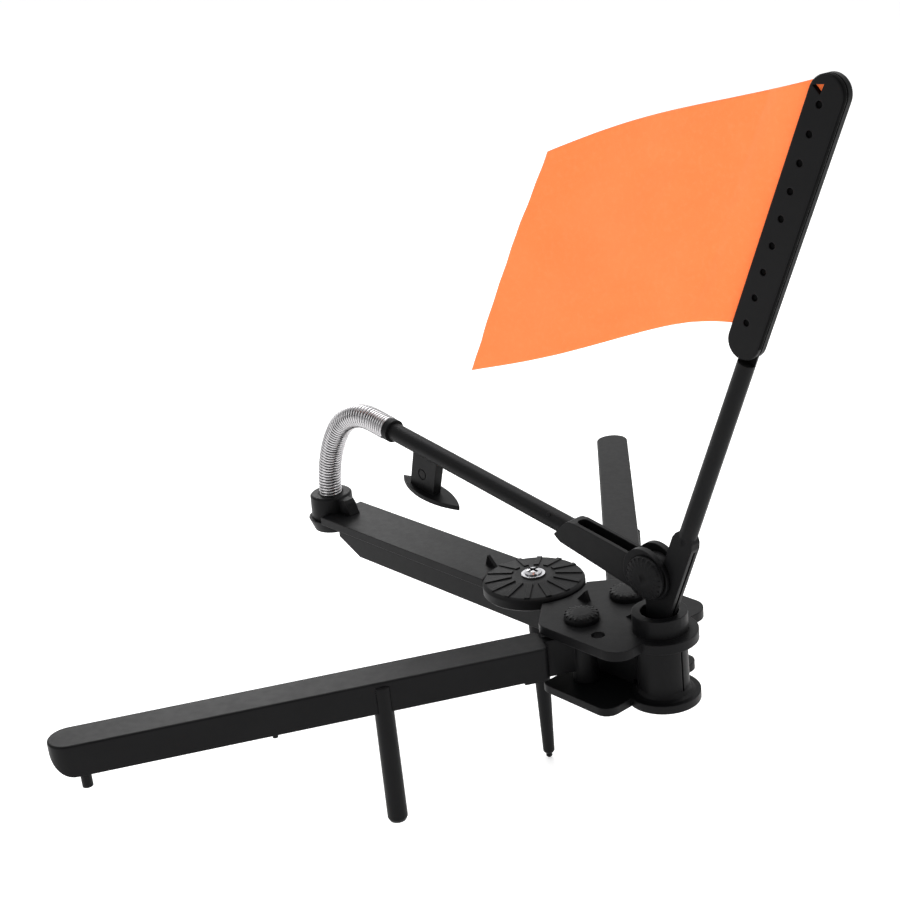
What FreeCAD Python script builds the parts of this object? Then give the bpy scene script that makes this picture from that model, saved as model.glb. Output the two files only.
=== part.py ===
import FreeCAD, Part
import math
import os
import re
import Sketcher
from FreeCAD import Placement, Rotation, Vector

# Folding ice fishing tip up, millimetres.
# The origin is on the axis of the mast collar, level with the underside of the hub, which rests on
# the ice. +Z is up and the main beam runs along -X. The left leg stands toward -Y, the right leg
# toward +Y. The rotor shaft and the two line pegs hang below the ice plane, into the hole.

DIMENSIONS = {
    # hub plates, post and collar
    "plate_top": 32.5,
    "plate_thickness": 4.3,
    "lower_plate_thickness": 3.7,
    "hub_neck_x": 58.0,
    "hub_corner_x": 44.0,
    "hub_half_width": 29.8,
    "hub_corner_round": 7.0,
    "upper_lobe_x": 3.2,
    "upper_lobe_round": 9.0,
    "lower_lobe_x": -5.0,
    "lower_lobe_round": 6.0,
    "lower_plate_front": 44.5,
    "upper_flange_radius": 16.2,
    "lower_flange_radius": 15.9,
    "post_radius": 11.2,
    "post_foot_round": 2.4,
    "post_clearance": 0.05,
    "post_groove_width": 0.9,
    "post_groove_depth": 0.6,
    "collar_radius": 11.95,
    "collar_top": 41.1,
    "collar_hole_radius": 8.3,
    "collar_hole_floor": 23.7,
    "collar_gusset_length": 8.0,
    "collar_gusset_height": 5.5,
    "tether_hole_radius": 3.0,
    "tether_hole_x": 16.6,
    "tether_hole_y": 20.8,
    # beam
    "beam_half_width": 13.4,
    "beam_end_x": 225.2,
    "web_half_width": 5.0,
    "web_bottom": 11.7,
    "web_slant_low_x": 206.1,
    "web_slant_high_x": 222.3,
    "web_slant_height": 7.7,
    "core_front_x": 38.0,
    "end_lip_top_radius": 13.2,
    "end_lip_foot_radius": 10.8,
    "end_lip_bottom": 21.7,
    "fin_thickness": 1.8,
    "fin_height": 5.0,
    "fin_length": 7.5,
    "fin_lean": 5.6,
    "fin_hub_x": 49.0,
    "fin_spring_x": 102.2,
    # rotor
    "rotor_x": 77.3,
    "rotor_radius": 23.7,
    "rotor_bottom": 28.5,
    "rotor_rim_top": 34.5,
    "rotor_middle_top": 36.0,
    "rotor_middle_radius": 8.8,
    "rotor_edge_round": 1.5,
    "rotor_rib_count": 14.0,
    "rotor_rib_width": 2.4,
    "rotor_rib_rise": 0.45,
    "rotor_rib_start": 10.2,
    "recess_radius": 24.5,
    "recess_floor": 28.1,
    "rotor_seat_radius": 13.0,
    "rotor_seat_bottom": 26.9,
    "shaft_journal_radius": 3.2,
    "shaft_running_gap": 0.06,
    "shaft_shoulder_top": 11.5,
    "shaft_shoulder_radius": 4.35,
    "shaft_tip_radius": 2.75,
    "shaft_taper_end": 56.8,
    "shaft_nib_radius": 1.5,
    "shaft_end": 60.3,
    "washer_radius": 5.5,
    "washer_thickness": 0.8,
    "screw_radius": 1.6,
    "screw_head_radius": 3.9,
    "screw_head_height": 1.9,
    "screw_length": 15.0,
    "screw_slot_width": 1.5,
    "screw_slot_reach": 3.0,
    # hinge pins
    "hinge_x": 32.5,
    "hinge_y": 14.3,
    "hinge_pin_radius": 3.4,
    "hinge_pin_foot": 0.8,
    "running_gap": 0.05,
    "pin_head_radius": 7.7,
    "pin_head_height": 3.8,
    "pin_end_chamfer": 0.5,
    "head_rib_width": 0.8,
    "head_rib_foot": 0.2,
    # legs
    "leg_left_angle": 62.7,
    "leg_right_angle": 44.9,
    "leg_half_width": 8.75,
    "leg_bottom": 12.2,
    "leg_top": 26.6,
    "leg_length": 229.6,
    "leg_box_start": 18.0,
    "leg_wall": 2.0,
    "leg_roof": 2.2,
    "leg_edge_round": 0.9,
    "leg_inner_round": 3.0,
    "leg_heel_round": 10.5,
    "leg_rib_thickness": 1.8,
    "tongue_half_width": 2.4,
    "tongue_bottom": 9.4,
    "root_pad_depth": 1.0,
    "root_pad_length": 9.0,
    "barrel_radius": 5.6,
    "barrel_gap": 0.25,
    "peg_distance": 91.5,
    "peg_offset": 5.6,
    "peg_radius": 4.25,
    "peg_tip_radius": 4.45,
    "peg_end": 42.7,
    "peg_boss_wall": 2.2,
    "inner_nub_distance": 138.0,
    "inner_nub_radius": 1.2,
    "inner_nub_bottom": 6.7,
    "outer_nub_distance": 217.0,
    "outer_nub_radius": 2.3,
    "outer_nub_bottom": 2.6,
    # spring and its socket
    "socket_x": 232.4,
    "socket_radius": 11.1,
    "socket_foot_radius": 11.5,
    "socket_top": 40.9,
    "socket_shank_radius": 8.6,
    "socket_bore_radius": 6.4,
    "socket_floor": 25.3,
    "socket_post_radius": 4.0,
    "gusset_half_width": 3.0,
    "gusset_foot": 8.7,
    "gusset_head": 6.1,
    "spring_radius": 6.1,
    "spring_wire": 1.6,
    "spring_straight_top": 38.2,
    "spring_low_bend": 63.3,
    "spring_low_turn": 39.9,
    "spring_high_bend": 33.5,
    "spring_lead": 13.0,
    # arm, measured along its bar from the spring's end
    "arm_tilt": 10.0,
    "arm_radius": 4.45,
    "arm_spigot_radius": 4.1,
    "arm_spigot_length": 13.0,
    "arm_shoulder_radius": 5.8,
    "arm_shoulder_length": 3.4,
    "fork_start": 118.5,
    "fork_root": 127.0,
    "fork_half_height": 6.6,
    "fork_rise": 6.1,
    "fork_shoulder_start": 7.0,
    "fork_half_width": 4.6,
    "fork_slot_half_width": 2.8,
    "fork_slot_start": 130.3,
    "fork_end": 177.0,
    "pivot_along": 175.0,
    "pivot_rise": 0.6,
    "fork_end_drop": 9.9,
    "cheek_radius": 10.4,
    "cheek_along": 174.9,
    "cheek_rise": 0.2,
    "boss_radius": 11.0,
    "boss_along": 172.6,
    "boss_rise": 1.0,
    "boss_face": 5.6,
    "fold_pin_radius": 3.0,
    "fold_pin_end": 1.4,
    "fold_head_gap": 0.1,
    "fold_head_radius": 9.5,
    "fold_head_height": 2.6,
    "fold_cap_radius": 8.2,
    "gate_mark_along": 114.5,
    "gate_mark_radius": 1.1,
    "gate_mark_rise": 0.35,
    "stem_high_start": 20.6,
    "stem_high_end": 38.0,
    "stem_low_start": 18.6,
    "stem_low_end": 35.5,
    "stem_half_thickness": 2.35,
    "leaf_middle": 31.4,
    "leaf_half_length": 20.9,
    "leaf_half_width": 6.6,
    "leaf_drop": 21.2,
    "leaf_thickness": 2.2,
    "ring_mark_radius": 2.9,
    "ring_mark_width": 0.7,
    "ring_mark_depth": 0.3,
    "ring_mark_along": 27.4,
    "ring_mark_drop": 13.3,
    # mast, measured from its datum on the bar's axis
    "mast_datum_along": 177.0,
    "mast_tilt": 22.9,
    "mast_offset": 7.0,
    "blade_half_width": 5.4,
    "blade_half_thickness": 2.5,
    "blade_top": 28.5,
    "blade_shoulder": 2.2,
    "blade_foot_round": 2.4,
    "blade_heel_x": 4.5,
    "blade_heel_top": 6.0,
    "blade_heel_bottom": 7.5,
    "blade_waist_x": 0.4,
    "blade_waist_bottom": 14.7,
    "foot_end": 26.2,
    "knuckle_radius": 8.8,
    "rod_low_radius": 3.85,
    "rod_high_radius": 3.6,
    "edge_groove_width": 1.3,
    "edge_groove_depth": 0.9,
    "holder_bottom": 113.8,
    "holder_top": 226.6,
    "holder_half_width": 7.2,
    "holder_shift": 3.0,
    "holder_back_plate": 2.9,
    "holder_front_plate": 2.1,
    "holder_edge_round": 0.7,
    "cloth_gap": 0.7,
    "clamp_hole_radius": 1.35,
    "clamp_pin_radius": 1.15,
    "clamp_hole_x": 2.85,
    "clamp_first_hole": 128.8,
    "clamp_pitch": 10.85,
    # flag
    "flag_low": 124.6,
    "flag_high": 221.9,
    "flag_thickness": 0.4,
    "flag_hole_radius": 1.6,
    "flag_tuck": 8.4,
    "fly_high_x": 105.4,
    "fly_high_y": 6.0,
    "fly_high_z": 146.6,
    "fly_low_x": 102.2,
    "fly_low_y": 28.0,
    "fly_low_z": 49.4,
}
# A pin head's dome, and where its ribs start and end, as shares of the head's radius and height.
HEAD_DOME = ((1, 0), (1, 0.5), (0.94, 0.74), (0.82, 0.9), (0.5, 0.98), (0, 1))
RIB_INNER = (0.62, 0.98)
RIB_OUTER = (0.97, 0.86)
# How far the middle of the post's foot curve stands out, as a share of the curve's size.
FOOT_CURVE = 0.3
# The corners of the small window in the clamp plate, across and up the mast.
CLAMP_WINDOW = ((-2.1, 220.6), (2.3, 222.7), (2.0, 218.7))
# The places of the cross ribs under a leg, from its hinge; one more stands over the inner nub.
LEG_RIBS = (45, 66, 114, 164, 190)
CLAMP_HOLES = 9
PIN_HEAD_RIBS = 16
FOLD_HEAD_RIBS = 22
SIDES = {"left": -1, "right": 1}

document = FreeCAD.newDocument("ice_fishing_tip_up")
sheet = document.addObject("Spreadsheet::Sheet", "sizes")
for row, (alias, number) in enumerate(DIMENSIONS.items(), start=1):
    sheet.set(f"A{row}", alias)
    sheet.set(f"B{row}", str(number))
    sheet.setAlias(f"B{row}", alias)
document.recompute()


# ---------------------------------------------------------------- helpers

def size(alias):
    """A driving dimension read back from the sheet."""
    return float(sheet.get(alias))


def formula(text):
    """Point every dimension named in the text at its cell in the sheet."""
    def cell(word):
        name = word.group()
        return "sizes." + name if name in DIMENSIONS else name
    return re.sub(r"[a-z_]+", cell, str(text))


def amount(text):
    """The present value of a formula in dimension names."""
    result = sheet.evalExpression(formula(text))
    return float(getattr(result, "Value", result))


def bind(item, **formulas):
    """Bind properties to formulas; x, y and z stand for the place of the object."""
    for name, text in formulas.items():
        target = "Placement.Base." + name if name in ("x", "y", "z") else name
        item.setExpression(target, formula(text))
    return item


def box(name, x, y, z):
    """A block between two formulas along each axis."""
    block = document.addObject("Part::Box", name)
    spans = {"Length": x, "Width": y, "Height": z}
    for side, (low, high) in spans.items():
        block.setExpression(side, formula(f"({high}) - ({low})"))
    return bind(block, x=x[0], y=y[0], z=z[0])


def cylinder(name, radius, z, x="0", y="0"):
    """An upright cylinder between two heights."""
    rod = document.addObject("Part::Cylinder", name)
    bind(rod, Radius=radius, Height=f"({z[1]}) - ({z[0]})", x=x, y=y, z=z[0])
    return rod


def cone(name, low_radius, high_radius, z, x="0", y="0"):
    taper = document.addObject("Part::Cone", name)
    bind(taper, Radius1=low_radius, Radius2=high_radius, Height=f"({z[1]}) - ({z[0]})")
    return bind(taper, x=x, y=y, z=z[0])


def along_x(name, radius, x):
    """A cylinder whose axis is the X axis."""
    rod = document.addObject("Part::Cylinder", name)
    rod.Placement = Placement(Vector(), Rotation(Vector(0, 1, 0), 90))
    return bind(rod, Radius=radius, Height=f"({x[1]}) - ({x[0]})", x=x[0])


def along_y(name, radius, y, x="0", z="0"):
    """A cylinder that lies along +Y between two formulas."""
    rod = document.addObject("Part::Cylinder", name)
    rod.Placement = Placement(Vector(), Rotation(Vector(1, 0, 0), -90))
    return bind(rod, Radius=radius, Height=f"({y[1]}) - ({y[0]})", x=x, y=y[0], z=z)


def fuse(name, *parts):
    joined = document.addObject("Part::MultiFuse", name)
    joined.Shapes = list(parts)
    return joined


def cut(name, base, *tools):
    result = document.addObject("Part::Cut", name)
    result.Base = base
    result.Tool = tools[0] if len(tools) == 1 else fuse(name + "_tools", *tools)
    return result


def common(name, first, second):
    result = document.addObject("Part::Common", name)
    result.Base = first
    result.Tool = second
    return result


def draw_polygon(sketch, points):
    """Draw a closed outline whose corners are formulas bound to the sheet."""
    corners = [(amount(x), amount(y)) for x, y in points]
    count = len(corners)
    for index, (x, y) in enumerate(corners):
        next_x, next_y = corners[(index + 1) % count]
        sketch.addGeometry(Part.LineSegment(Vector(x, y, 0), Vector(next_x, next_y, 0)), False)
    for index in range(count):
        sketch.addConstraint(Sketcher.Constraint("Coincident", index, 2, (index + 1) % count, 1))
    for index, (x, y) in enumerate(corners):
        for kind, axis, place, text in (("DistanceX", -2, x, points[index][0]),
                                        ("DistanceY", -1, y, points[index][1])):
            if abs(place) < 1e-9:
                sketch.addConstraint(Sketcher.Constraint("PointOnObject", index, 1, axis))
                continue
            number = sketch.addConstraint(Sketcher.Constraint(kind, -1, 1, index, 1, place))
            sketch.setExpression(f"Constraints[{number}]", formula(text))


def prism(name, points, low, high, plane="XY"):
    """Extrude an outline between two heights, or between two depths along Y for plane XZ."""
    sketch = document.addObject("Sketcher::SketchObject", name + "_outline")
    draw_polygon(sketch, points)
    solid = document.addObject("Part::Extrusion", name)
    solid.Base = sketch
    solid.DirMode = "Custom"
    solid.Solid = True
    if plane == "XY":
        solid.Dir = Vector(0, 0, 1)
        bind(sketch, z=low)
    else:
        sketch.Placement = Placement(Vector(), Rotation(Vector(1, 0, 0), 90))
        solid.Dir = Vector(0, 1, 0)
        bind(sketch, y=low)
    return bind(solid, LengthFwd=f"({high}) - ({low})")


def round_edges(name, base, radius, wanted):
    """Fillet the edges of base that the test picks."""
    document.recompute()
    chosen = [number for number, edge in enumerate(base.Shape.Edges, start=1) if wanted(edge)]
    rounded = document.addObject("Part::Fillet", name)
    rounded.Base = base
    rounded.Edges = [(number, size(radius), size(radius)) for number in chosen]
    return rounded


def is_upright(edge):
    low, high = edge.BoundBox.ZMin, edge.BoundBox.ZMax
    return high - low > 1 and edge.BoundBox.XLength < 1e-6 and edge.BoundBox.YLength < 1e-6


def origin_plane(body, role):
    return next(plane for plane in body.Origin.OriginFeatures if plane.Role == role)


def body_sketch(body, name, role, points):
    sketch = body.newObject("Sketcher::SketchObject", name)
    sketch.AttachmentSupport = [(origin_plane(body, role), "")]
    sketch.MapMode = "FlatFace"
    draw_polygon(sketch, points)
    return sketch


def turned_body(name, points):
    """A body turned about its own Z axis from an outline in radius and height."""
    body = document.addObject("PartDesign::Body", name)
    sketch = body_sketch(body, name + "_profile", "XZ_Plane", points)
    turn = body.newObject("PartDesign::Revolution", name + "_turn")
    turn.Profile = sketch
    turn.ReferenceAxis = (sketch, ["V_Axis"])
    turn.Angle = 360
    document.recompute()
    return body


def add_radial_ribs(body, name, inner, outer, width, count):
    """Repeat one raised radial rib round the body's Z axis.

    inner and outer each give a radius, the rib's foot and its crest there.
    """
    points = [(inner[0], inner[1]), (outer[0], outer[1]), (outer[0], outer[2]), (inner[0], inner[2])]
    sketch = body_sketch(body, name + "_profile", "XZ_Plane", points)
    rib = body.newObject("PartDesign::Pad", name)
    rib.Profile = sketch
    rib.SideType = "Symmetric"
    rib.setExpression("Length", formula(width))
    document.recompute()
    pattern = body.newObject("PartDesign::PolarPattern", name + "_pattern")
    pattern.Originals = [rib]
    pattern.Axis = (sketch, ["V_Axis"])
    pattern.Angle = 360
    pattern.Occurrences = count
    body.Tip = pattern
    document.recompute()


def finish(part, label, placement=None):
    """Name a sub-part and put it in its place."""
    part.Label = label
    if placement is not None:
        part.Placement = placement
    parts.append(part)
    return part


parts = []


# ---------------------------------------------------------------- hub and beam

def hub_plate(name, lobe_x, lobe_round, flange_radius, low, high):
    """A hub plate, alike on both sides of the beam: two rounded lobes and a round flange."""
    near = [("-hub_neck_x", "-beam_half_width"),
            ("-hub_corner_x", "-hub_half_width"),
            (lobe_x, "-hub_half_width")]
    far = [(x, y.lstrip("-")) for x, y in reversed(near)]
    slab = prism(name + "_slab", near + far, low, high)

    def is_outer_corner(edge):
        return is_upright(edge) and abs(edge.BoundBox.YMax) > size("beam_half_width") + 1

    corners = round_edges(name + "_corners", slab, "hub_corner_round",
                          lambda edge: is_outer_corner(edge) and edge.BoundBox.XMax < -size("hinge_x"))
    lobes = round_edges(name + "_lobes", corners, lobe_round,
                        lambda edge: is_outer_corner(edge) and edge.BoundBox.XMax > size(lobe_x) - 0.1)
    return [lobes, cylinder(name + "_flange", flange_radius, (low, high))]


def pin_holes(name, radius, low, high):
    return [cylinder(f"{name}_{side}", radius, (low, high), x="-hinge_x", y=f"{sign} * hinge_y")
            for side, sign in SIDES.items()]


def fin(name, x, toward):
    """A small upright triangular stop on the beam's centre line, leaning toward +X or -X."""
    points = [(x, "plate_top - 0.5"),
              (f"({x}) + ({toward}) * fin_lean", "plate_top + fin_height"),
              (f"({x}) + ({toward}) * fin_length", "plate_top - 0.5")]
    return prism(name, points, "-fin_thickness / 2", "fin_thickness / 2", "XZ")


def make_main_beam():
    under = "plate_top - plate_thickness"
    across = ("-beam_half_width", "beam_half_width")
    inside_web = ("-web_half_width", "web_half_width")
    plate = box("beam_plate", ("-beam_end_x", "-hub_corner_x - 2"), across, (under, "plate_top"))
    lip = cone("beam_end_lip", "end_lip_foot_radius", "end_lip_top_radius",
               ("end_lip_bottom", under), x="-socket_x")
    web_outline = [("-post_radius + 3", "web_bottom"),
                   ("-web_slant_low_x", "web_bottom"),
                   ("-web_slant_high_x", "web_bottom + web_slant_height"),
                   ("-web_slant_high_x", f"{under} + 1"),
                   ("-post_radius + 3", f"{under} + 1")]
    web = prism("beam_web", web_outline, *inside_web, "XZ")
    core = box("hub_core", ("-core_front_x", "-post_radius + 3"), inside_web,
               ("lower_plate_thickness", f"{under} + 1"))
    seat = cylinder("rotor_seat", "rotor_seat_radius", ("rotor_seat_bottom", f"{under} + 1"),
                    x="-rotor_x")
    collar = cylinder("hub_collar", "collar_radius", (under, "collar_top"))
    gusset = prism("collar_gusset",
                   [("-collar_radius - collar_gusset_length", "plate_top - 0.5"),
                    ("-collar_radius + 1", "plate_top + collar_gusset_height"),
                    ("-collar_radius + 1", "plate_top - 0.5")],
                   "-fin_thickness / 2", "fin_thickness / 2", "XZ")
    fins = [fin("fin_hub_side", "-fin_hub_x", 1), fin("fin_spring_side", "-fin_spring_x", -1)]
    hub = hub_plate("upper_plate", "upper_lobe_x", "upper_lobe_round", "upper_flange_radius",
                    under, "plate_top")
    solid = fuse("main_beam_solid", *hub, plate, lip, web, core, seat, collar, gusset, *fins)
    cutters = [
        cylinder("post_space", "post_radius + post_clearance", ("0", under)),
        cylinder("post_foot_space", "post_radius + post_foot_round + post_clearance",
                 ("0", "lower_plate_thickness + post_foot_round")),
        cylinder("collar_hole", "collar_hole_radius", (f"{under} - 1", "collar_top + 1")),
        cylinder("rotor_recess", "recess_radius", ("recess_floor", "plate_top + 1"), x="-rotor_x"),
        cylinder("rotor_bearing", "shaft_journal_radius + shaft_running_gap", ("0", "plate_top"),
                 x="-rotor_x"),
        cylinder("socket_ledge", "socket_foot_radius", (under, "plate_top + 1"), x="-socket_x"),
        cylinder("socket_seat", "socket_shank_radius", ("socket_floor - 2", "plate_top"),
                 x="-socket_x"),
        *pin_holes("upper_pin_hole", "hinge_pin_radius", "0", "plate_top + 1"),
        *[cylinder(f"tether_hole_{side}", "tether_hole_radius", (under + " - 1", "plate_top + 1"),
                   x="-tether_hole_x", y=f"{sign} * tether_hole_y")
          for side, sign in SIDES.items()],
    ]
    return finish(cut("main_beam", solid, *cutters), "main_beam")


def make_hub_base():
    """The lower hub plate with the post that stands between the plates under the collar."""
    top = "plate_top - plate_thickness"
    foot = "lower_plate_thickness"
    plate = hub_plate("lower_plate", "lower_lobe_x", "lower_lobe_round", "lower_flange_radius",
                      "0", foot)
    post = turned_body("hub_post", [("0", "1"),
                                    ("post_radius + post_foot_round", "1"),
                                    ("post_radius + post_foot_round", foot),
                                    (f"post_radius + {FOOT_CURVE} * post_foot_round",
                                     f"{foot} + {FOOT_CURVE} * post_foot_round"),
                                    ("post_radius", f"{foot} + post_foot_round"),
                                    ("post_radius", top),
                                    ("0", top)])
    solid = fuse("hub_base_solid", *plate, post)
    front = box("lower_plate_front_cut", ("-hub_neck_x - 1", "-lower_plate_front"),
                ("-hub_half_width - 1", "hub_half_width + 1"), ("-1", f"{foot} + 1"))
    bore = cylinder("hub_base_bore", "collar_hole_radius", ("collar_hole_floor", "plate_top"))
    groove = box("post_groove", ("post_radius - post_groove_depth", "post_radius + 1"),
                 ("-post_groove_width / 2", "post_groove_width / 2"),
                 (f"{foot} + post_foot_round", "plate_top"))
    holes = pin_holes("lower_pin_hole", "hinge_pin_radius", "-1", f"{foot} + 1")
    finish(cut("hub_base", solid, front, bore, groove, *holes), "hub_base")


# ---------------------------------------------------------------- pins with ribbed heads

def ribbed_pin(name, shaft_radius, shaft_length, head_radius, head_height, rib_count):
    """A moulded pin: a plain shank below z = 0 and a domed head above it with radial ribs."""
    profile = [("0", f"-({shaft_length})"),
               (f"{shaft_radius} - pin_end_chamfer", f"-({shaft_length})"),
               (shaft_radius, f"-({shaft_length}) + pin_end_chamfer"),
               (shaft_radius, "0")]
    profile += [(f"{head_radius} * {across}", f"{head_height} * {up}")
                for across, up in HEAD_DOME]
    body = turned_body(name, profile)
    inner = (f"{head_radius} * {RIB_INNER[0]}", "head_rib_foot", f"{head_height} * {RIB_INNER[1]}")
    outer = (f"{head_radius} * {RIB_OUTER[0]}", "head_rib_foot", f"{head_height} * {RIB_OUTER[1]}")
    add_radial_ribs(body, name + "_rib", inner, outer, "head_rib_width", rib_count)
    return body


def make_hinge_pins():
    for side, sign in SIDES.items():
        pin = ribbed_pin(f"hinge_pin_{side}", "hinge_pin_radius", "plate_top - hinge_pin_foot",
                         "pin_head_radius", "pin_head_height", PIN_HEAD_RIBS)
        place = Vector(-size("hinge_x"), sign * size("hinge_y"), size("plate_top"))
        finish(pin, f"hinge_pin_{side}", Placement(place, Rotation()))


# ---------------------------------------------------------------- legs

def make_leg(side, sign):
    """A leg lies along +X from its hinge here, and its placement turns it to its open angle."""
    name = f"leg_{side}"
    end = "leg_length - leg_half_width"
    span_z = ("leg_bottom", "leg_top")
    beam = box(name + "_beam", ("leg_box_start", end), ("-leg_half_width", "leg_half_width"), span_z)
    tip = cylinder(name + "_tip", "leg_half_width", span_z, x=end)
    inner = round_edges(name + "_inner_end", fuse(name + "_shell", beam, tip), "leg_inner_round",
                        lambda edge: is_upright(edge) and edge.BoundBox.XMax < size("leg_box_start") + 1)
    shell = round_edges(name + "_rounded", inner, "leg_edge_round",
                        lambda edge: edge.BoundBox.ZMin > size("leg_top") - 0.01)
    heel_block = box(name + "_heel_block", ("leg_length - leg_heel_round", "leg_length + 1"),
                     ("-20", "20"), ("leg_bottom - 1", "leg_bottom + leg_heel_round"))
    heel_round = along_y(name + "_heel_round", "leg_heel_round", ("-21", "21"),
                         x="leg_length - leg_heel_round", z="leg_bottom + leg_heel_round")
    heel = cut(name + "_heel", heel_block, heel_round)
    hollow = box(name + "_hollow", ("leg_box_start + 3", "outer_nub_distance - 3"),
                 ("-leg_half_width + leg_wall", "leg_half_width - leg_wall"),
                 ("leg_bottom - 1", "leg_top - leg_roof"))
    channel = cut(name + "_channel", shell, heel, hollow)
    ribs = [box(f"{name}_rib_{index}", (f"{at} - leg_rib_thickness / 2", f"{at} + leg_rib_thickness / 2"),
                ("-leg_half_width + 1", "leg_half_width - 1"), ("leg_bottom + 1.5", "leg_top - 1"))
            for index, at in enumerate((*LEG_RIBS, "inner_nub_distance"))]
    peg_y = f"{-sign} * peg_offset"
    boss_round = cylinder(name + "_boss_round", "peg_tip_radius + peg_boss_wall",
                          ("leg_bottom", "leg_top - 1"), x="peg_distance", y=peg_y)
    boss_limit = box(name + "_boss_limit", ("leg_box_start", end),
                     ("-leg_half_width", "leg_half_width"), span_z)
    boss = common(name + "_boss", boss_round, boss_limit)
    tongue = box(name + "_tongue", ("0", "leg_box_start + 1"),
                 ("-tongue_half_width", "tongue_half_width"), ("tongue_bottom", "leg_top"))
    pad = box(name + "_root_pad", ("leg_box_start + leg_inner_round",
                                   "leg_box_start + leg_inner_round + root_pad_length"),
              ("-leg_half_width", "leg_half_width"), ("leg_bottom - root_pad_depth", "leg_bottom + 1"))
    barrel = cylinder(name + "_barrel", "barrel_radius",
                      ("lower_plate_thickness + barrel_gap",
                       "plate_top - plate_thickness - barrel_gap"))
    nubs = [cylinder(f"{name}_{nub}", f"{nub}_radius", (f"{nub}_bottom", "leg_bottom + 3"),
                     x=f"{nub}_distance")
            for nub in ("inner_nub", "outer_nub")]
    solid = fuse(name + "_solid", channel, *ribs, boss, tongue, pad, barrel, *nubs)
    pin_hole = cylinder(name + "_pin_hole", "hinge_pin_radius + running_gap", ("0", "plate_top"))
    peg_hole = cylinder(name + "_peg_hole", "peg_radius", ("0", "leg_top - leg_roof"),
                        x="peg_distance", y=peg_y)
    turn = 180 - sign * size(f"leg_{side}_angle")
    place = Placement(Vector(-size("hinge_x"), sign * size("hinge_y"), 0),
                      Rotation(Vector(0, 0, 1), turn))
    finish(cut(name, solid, pin_hole, peg_hole), name, place)
    make_peg(side, sign, place)


def make_peg(side, sign, leg_place):
    """A line peg pressed up into its leg's outer side wall, a little thicker at its rounded tip."""
    profile = [("0", "leg_top - leg_roof"),
               ("peg_radius - 0.6", "leg_top - leg_roof"),
               ("peg_radius", "leg_top - leg_roof - 0.6"),
               ("peg_radius", "leg_bottom - 4"),
               ("peg_tip_radius", "-peg_end + 6"),
               ("peg_tip_radius", "-peg_end + 2.4"),
               ("peg_tip_radius - 0.7", "-peg_end + 0.9"),
               ("peg_tip_radius - 2.2", "-peg_end"),
               ("0", "-peg_end")]
    peg = turned_body(f"line_peg_{side}", profile)
    along = Placement(Vector(size("peg_distance"), -sign * size("peg_offset"), 0), Rotation())
    finish(peg, f"line_peg_{side}", leg_place.multiply(along))


# ---------------------------------------------------------------- rotor

def rotor_place():
    return Placement(Vector(-size("rotor_x"), 0, 0), Rotation())


def make_rotor_disc():
    profile = [("screw_radius", "rotor_bottom"),
               ("rotor_radius - 0.8", "rotor_bottom"),
               ("rotor_radius", "rotor_bottom + 0.8"),
               ("rotor_radius", "rotor_rim_top - rotor_edge_round"),
               ("rotor_radius - 0.5", "rotor_rim_top - 0.7"),
               ("rotor_radius - rotor_edge_round", "rotor_rim_top"),
               ("rotor_middle_radius", "rotor_middle_top"),
               ("screw_radius", "rotor_middle_top")]
    disc = turned_body("rotor_disc", profile)
    inner = ("rotor_rib_start", "rotor_rim_top - 2", "rotor_middle_top + rotor_rib_rise")
    outer = ("rotor_radius - rotor_edge_round + 0.3", "rotor_rim_top - 2",
             "rotor_rim_top + rotor_rib_rise")
    add_radial_ribs(disc, "rotor_rib", inner, outer, "rotor_rib_width", int(size("rotor_rib_count")))
    finish(disc, "rotor_disc", rotor_place())


def make_rotor_shaft():
    profile = [("0", "rotor_bottom"),
               ("shaft_journal_radius", "rotor_bottom"),
               ("shaft_journal_radius", "shaft_shoulder_top"),
               ("shaft_shoulder_radius", "shaft_shoulder_top"),
               ("shaft_tip_radius", "-shaft_taper_end"),
               ("shaft_tip_radius - 0.6", "-shaft_taper_end - 0.8"),
               ("shaft_nib_radius", "-shaft_taper_end - 1"),
               ("shaft_nib_radius", "-shaft_end + 0.6"),
               ("shaft_nib_radius - 0.6", "-shaft_end"),
               ("0", "-shaft_end")]
    blank = turned_body("rotor_shaft_blank", profile)
    thread = cylinder("shaft_thread_hole", "screw_radius", ("rotor_middle_top - screw_length", "40"))
    finish(cut("rotor_shaft", blank, thread), "rotor_shaft", rotor_place())


def make_rotor_screw():
    seat = "rotor_middle_top + washer_thickness"
    ring = cylinder("washer_blank", "washer_radius", ("rotor_middle_top", seat))
    hole = cylinder("washer_hole", "screw_radius", ("rotor_middle_top - 1", f"{seat} + 1"))
    finish(cut("rotor_washer", ring, hole), "rotor_washer", rotor_place())
    top = f"{seat} + screw_head_height"
    profile = [("0", "rotor_middle_top - screw_length"),
               ("screw_radius", "rotor_middle_top - screw_length + 1.5"),
               ("screw_radius", seat),
               ("screw_head_radius", seat),
               ("screw_head_radius", f"{seat} + 0.7"),
               ("screw_head_radius - 1.1", f"{top} - 0.3"),
               ("0", top)]
    blank = turned_body("rotor_screw_blank", profile)
    half_slot = "screw_slot_width / 2"
    reach = ("-screw_slot_reach", "screw_slot_reach")
    across = (f"-{half_slot}", half_slot)
    depth = (f"{seat} + 0.5", f"{top} + 1")
    slots = [box("screw_slot_x", reach, across, depth), box("screw_slot_y", across, reach, depth)]
    finish(cut("rotor_screw", blank, *slots), "rotor_screw", rotor_place())


# ---------------------------------------------------------------- spring and socket

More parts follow.
